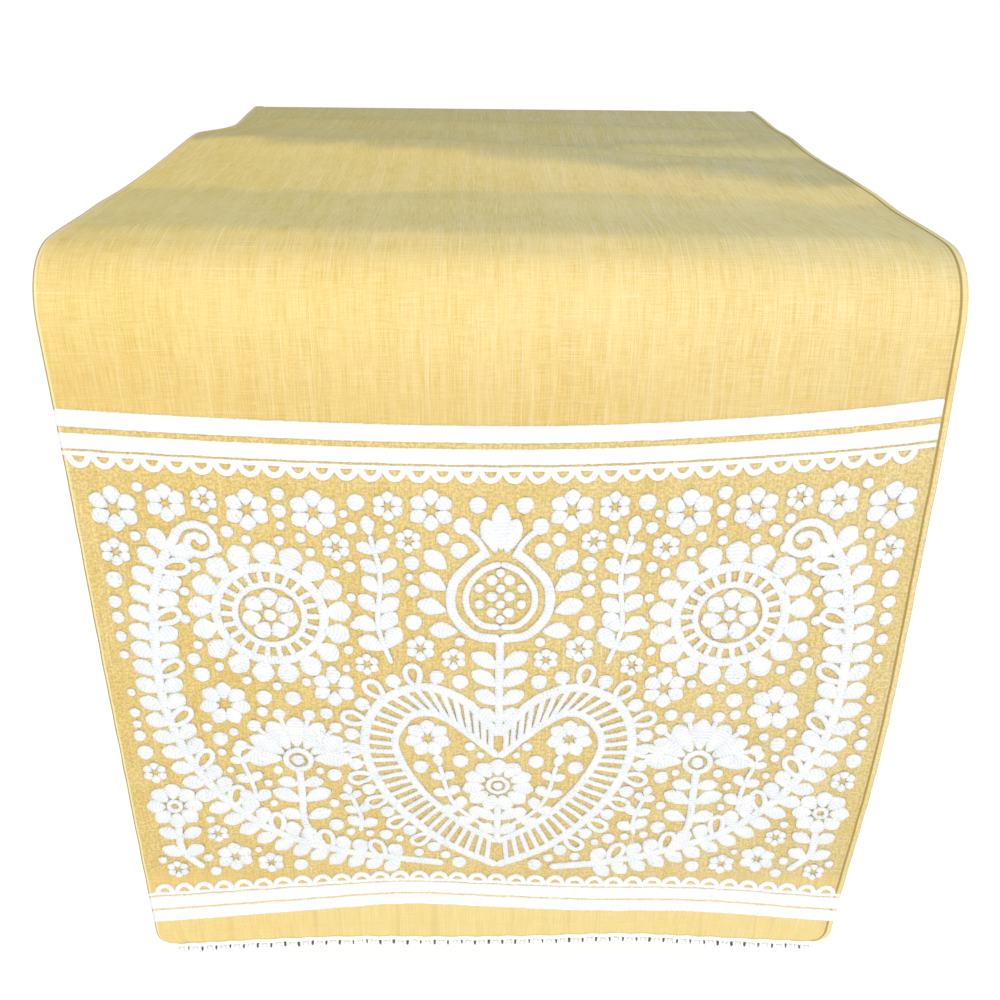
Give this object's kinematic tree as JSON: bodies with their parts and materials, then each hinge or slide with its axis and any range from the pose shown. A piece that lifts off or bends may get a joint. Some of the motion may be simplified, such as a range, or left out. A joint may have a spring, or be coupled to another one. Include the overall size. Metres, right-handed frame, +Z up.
{
  "type": "embroidered table runner on a small table",
  "caption": "Yellow slub-weave table runner with raised white stitched panels, bands and picot edging at its ends, falling over both ends of a plain low wooden side table.",
  "frame": {"origin": "on the floor under the middle of the table, at the centre of the bounding box's bottom", "axes": "+Z up, +X across the runner to its right as the near end is looked at, -Y towards the near hanging end"},
  "size_m": [0.4, 0.4824, 0.4778],
  "materials": {
    "yellow_cloth": "matt slub weave, linen and cotton",
    "white_stitching": "raised soft cotton thread",
    "pale_wood": "satin varnish"
  },
  "bodies": {
    "root": {"runner_cloth": "yellow_cloth", "band_near_head_upper": "white_stitching", "band_near_head_lower": "white_stitching", "band_near_hem_upper": "white_stitching", "band_near_hem_lower": "white_stitching", "band_far_head_upper": "white_stitching", "band_far_head_lower": "white_stitching", "band_far_hem_upper": "white_stitching", "band_far_hem_lower": "white_stitching", "picot_trim_near": "white_stitching", "picot_trim_far": "white_stitching", "table_top": "pale_wood", "leg_near_left": "pale_wood", "leg_near_right": "pale_wood", "leg_far_left": "pale_wood", "leg_far_right": "pale_wood", "apron_near": "pale_wood", "apron_far": "pale_wood", "apron_left": "pale_wood", "apron_right": "pale_wood"}
  },
  "joints": []
}
